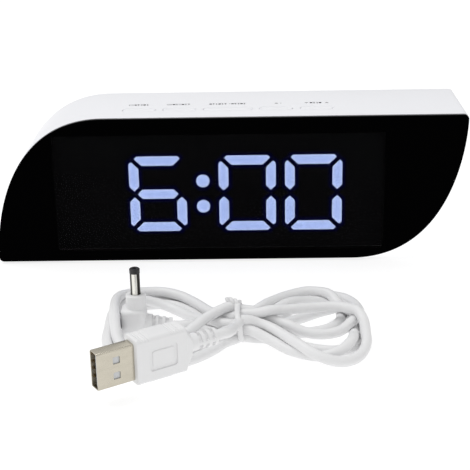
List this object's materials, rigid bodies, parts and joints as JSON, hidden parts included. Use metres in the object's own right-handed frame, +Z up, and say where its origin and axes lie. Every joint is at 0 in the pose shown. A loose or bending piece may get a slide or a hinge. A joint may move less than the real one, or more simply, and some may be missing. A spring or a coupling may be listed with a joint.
{
  "type": "alarm clock",
  "caption": "Digital alarm clock with a leaf-shaped white body, black mirror front, lit seven-segment time, top buttons and a tied USB power lead.",
  "frame": {"origin": "middle of the clock's bounding box on the surface that its feet stand on, without the power lead", "axes": "+X along the clock to the right as seen from the front, +Y from the display to the rear cover, +Z up"},
  "size_m": [0.178, 0.1529, 0.0568],
  "materials": {
    "white_shell": "cool white moulded ABS, satin gloss",
    "black_lens": "polished black one-way mirror acrylic",
    "smoked_film": "smoked polyester film",
    "milky_plastic": "milky light-spreading polycarbonate, lit periwinkle blue",
    "white_plastic": "plain moulded white plastic",
    "circuit_board": "green solder mask over glass fibre board",
    "black_plastic": "black moulded plastic",
    "cell_wrap": "plain printed sleeve over a steel can, blank of any mark",
    "nickel": "bright nickel plate",
    "screw_steel": "zinc-plated steel",
    "foot_rubber": "matt black rubber",
    "white_vinyl": "soft white PVC"
  },
  "bodies": {
    "housing": {"aaa_cell_1": "cell_wrap", "aaa_cell_2": "cell_wrap", "aaa_cell_3": "cell_wrap", "board_screw_1": "screw_steel", "board_screw_2": "screw_steel", "board_screw_3": "screw_steel", "board_screw_4": "screw_steel", "button_board": "circuit_board", "buzzer": "black_plastic", "clock_chip": "black_plastic", "cover_screw_1": "screw_steel", "cover_screw_2": "screw_steel", "cover_screw_3": "screw_steel", "cover_screw_4": "screw_steel", "dc_jack": "black_plastic", "display_driver_chip": "black_plastic", "display_filter": "smoked_film", "display_reflector": "white_plastic", "flat_contact_1": "nickel", "flat_contact_2": "nickel", "flat_contact_3": "nickel", "foot_1": "foot_rubber", "foot_2": "foot_rubber", "foot_3": "foot_rubber", "foot_4": "foot_rubber", "front_lens": "black_lens", "main_board": "circuit_board", "main_housing": "white_shell", "rear_cover": "white_shell", "segment_diffuser": "milky_plastic", "spring_contact_1": "nickel", "spring_contact_2": "nickel", "spring_contact_3": "nickel", "switch_body_1": "black_plastic", "switch_body_2": "black_plastic", "switch_body_3": "black_plastic", "switch_body_4": "black_plastic", "switch_body_5": "black_plastic"},
    "button_1": {"button_1": "white_shell", "switch_plunger_1": "white_plastic"},
    "button_2": {"button_2": "white_shell", "switch_plunger_2": "white_plastic"},
    "button_3": {"button_3": "white_shell", "switch_plunger_3": "white_plastic"},
    "button_4": {"button_4": "white_shell", "switch_plunger_4": "white_plastic"},
    "button_5": {"button_5": "white_shell", "switch_plunger_5": "white_plastic"},
    "battery_door": {"battery_door": "white_shell"},
    "power_lead": {"dc_plug_body": "white_vinyl", "dc_plug_barrel": "nickel", "dc_plug_tip": "black_plastic", "usb_plug_body": "white_vinyl", "usb_plug_shell": "nickel", "usb_plug_tongue": "white_plastic", "cord_hank": "white_vinyl", "cord_dc_lead": "white_vinyl", "cord_usb_lead": "white_vinyl", "twist_tie": "white_vinyl"}
  },
  "joints": [
    {"name": "button_1_press", "type": "slide", "parent": "housing", "child": "button_1", "axis": [0, 0, -1], "range_m": [0, 0.0005], "stiffness_N_per_m": 1500, "springref_m": -0.0002},
    {"name": "button_2_press", "type": "slide", "parent": "housing", "child": "button_2", "axis": [0, 0, -1], "range_m": [0, 0.0005], "stiffness_N_per_m": 1500, "springref_m": -0.0002},
    {"name": "button_3_press", "type": "slide", "parent": "housing", "child": "button_3", "axis": [0, 0, -1], "range_m": [0, 0.0005], "stiffness_N_per_m": 1500, "springref_m": -0.0002},
    {"name": "button_4_press", "type": "slide", "parent": "housing", "child": "button_4", "axis": [0, 0, -1], "range_m": [0, 0.0005], "stiffness_N_per_m": 1500, "springref_m": -0.0002},
    {"name": "button_5_press", "type": "slide", "parent": "housing", "child": "button_5", "axis": [0, 0, -1], "range_m": [0, 0.0005], "stiffness_N_per_m": 1500, "springref_m": -0.0002},
    {"name": "battery_door_pull", "type": "slide", "parent": "housing", "child": "battery_door", "axis": [0, 1, 0], "range_m": [0, 0.03]},
    {"name": "power_lead_lift", "type": "slide", "parent": "housing", "child": "power_lead", "axis": [0, 0, 1], "range_m": [0, 0.08]}
  ]
}
